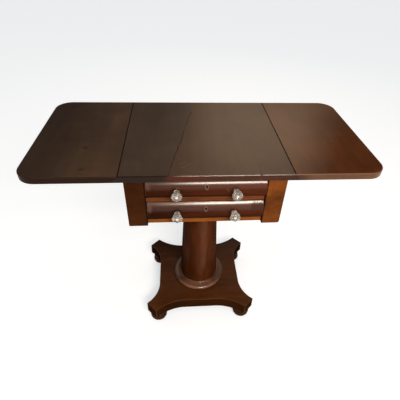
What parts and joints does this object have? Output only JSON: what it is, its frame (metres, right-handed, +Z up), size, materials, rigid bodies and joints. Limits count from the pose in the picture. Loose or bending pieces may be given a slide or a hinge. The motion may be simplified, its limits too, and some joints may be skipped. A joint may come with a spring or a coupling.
{
  "type": "drop-leaf work table",
  "caption": "Work table with two hinged drop leaves, swelled-front drawers with glass knobs, a tapered round column and a platform with concave sides on bun feet.",
  "frame": {"origin": "floor level under the middle of the top, with both leaves raised", "axes": "+Z up, +X to the right along the leaves' spread, -Y towards the drawer fronts"},
  "size_m": [0.966, 0.4585, 0.74],
  "materials": {
    "top_wood": "polished dark mahogany, worn",
    "front_veneer": "glossy dark red-brown mahogany veneer",
    "pilaster_veneer": "glossy orange-brown figured mahogany veneer",
    "case_veneer": "glossy mahogany veneer",
    "column_veneer": "glossy crotch mahogany veneer",
    "base_veneer": "dark mahogany veneer, worn",
    "inner_wood": "bare secondary wood, aged",
    "glass": "clear pressed glass",
    "brass": "aged brass",
    "hinge_iron": "dark aged iron",
    "lock_iron": "dark aged iron",
    "steel": "aged steel"
  },
  "bodies": {
    "case": {"top_left_board": "top_wood", "top_middle_board": "top_wood", "top_right_board": "top_wood", "hinge_top_flaps": "hinge_iron", "hinge_pins": "steel", "hinge_top_screws": "steel", "top_screws": "steel", "left_pilaster": "pilaster_veneer", "right_pilaster": "pilaster_veneer", "back_left_post": "case_veneer", "back_right_post": "case_veneer", "left_side": "case_veneer", "right_side": "case_veneer", "back_panel": "case_veneer", "top_rail": "case_veneer", "middle_rail": "case_veneer", "bottom_rail": "case_veneer", "bottom_board": "inner_wood", "runners": "inner_wood", "kickers": "inner_wood", "upper_guides": "inner_wood", "lower_guides": "inner_wood", "drawer_stops": "inner_wood", "bracket_pins": "steel", "column": "column_veneer", "column_ring": "column_veneer", "column_screws": "steel", "platform": "base_veneer", "front_left_foot": "base_veneer", "front_right_foot": "base_veneer", "back_left_foot": "base_veneer", "back_right_foot": "base_veneer"},
    "left_leaf": {"left_leaf": "top_wood", "left_hinge_leaf_flaps": "hinge_iron", "left_leaf_screws": "steel"},
    "right_leaf": {"right_leaf": "top_wood", "right_hinge_leaf_flaps": "hinge_iron", "right_leaf_screws": "steel"},
    "left_bracket": {"left_fly_bracket": "inner_wood"},
    "right_bracket": {"right_fly_bracket": "inner_wood"},
    "upper_drawer": {"upper_drawer_front": "front_veneer", "upper_drawer_left_side": "inner_wood", "upper_drawer_right_side": "inner_wood", "upper_drawer_back": "inner_wood", "upper_drawer_bottom": "inner_wood", "upper_knobs": "glass", "upper_knob_bolts": "steel", "upper_escutcheon": "brass", "upper_lock": "lock_iron"},
    "lower_drawer": {"lower_drawer_front": "front_veneer", "lower_drawer_left_side": "inner_wood", "lower_drawer_right_side": "inner_wood", "lower_drawer_back": "inner_wood", "lower_drawer_bottom": "inner_wood", "lower_knobs": "glass", "lower_knob_bolts": "steel", "lower_escutcheon": "brass", "lower_lock": "lock_iron"}
  },
  "joints": [
    {"name": "left_leaf_drop", "type": "hinge", "parent": "case", "child": "left_leaf", "pos_m": [-0.2285, 0, 0.7245], "axis": [0, -1, 0], "range_deg": [0, 90]},
    {"name": "right_leaf_drop", "type": "hinge", "parent": "case", "child": "right_leaf", "pos_m": [0.2285, 0, 0.7245], "axis": [0, 1, 0], "range_deg": [0, 90]},
    {"name": "upper_drawer_slide", "type": "slide", "parent": "case", "child": "upper_drawer", "axis": [0, -1, 0], "range_m": [0, 0.3]},
    {"name": "lower_drawer_slide", "type": "slide", "parent": "case", "child": "lower_drawer", "axis": [0, -1, 0], "range_m": [0, 0.3]},
    {"name": "left_bracket_swing", "type": "hinge", "parent": "case", "child": "left_bracket", "pos_m": [-0.2137, 0.02, 0.7], "axis": [0, 0, 1], "range_deg": [-90, 0]},
    {"name": "right_bracket_swing", "type": "hinge", "parent": "case", "child": "right_bracket", "pos_m": [0.2137, 0.02, 0.7], "axis": [0, 0, -1], "range_deg": [-90, 0]}
  ]
}
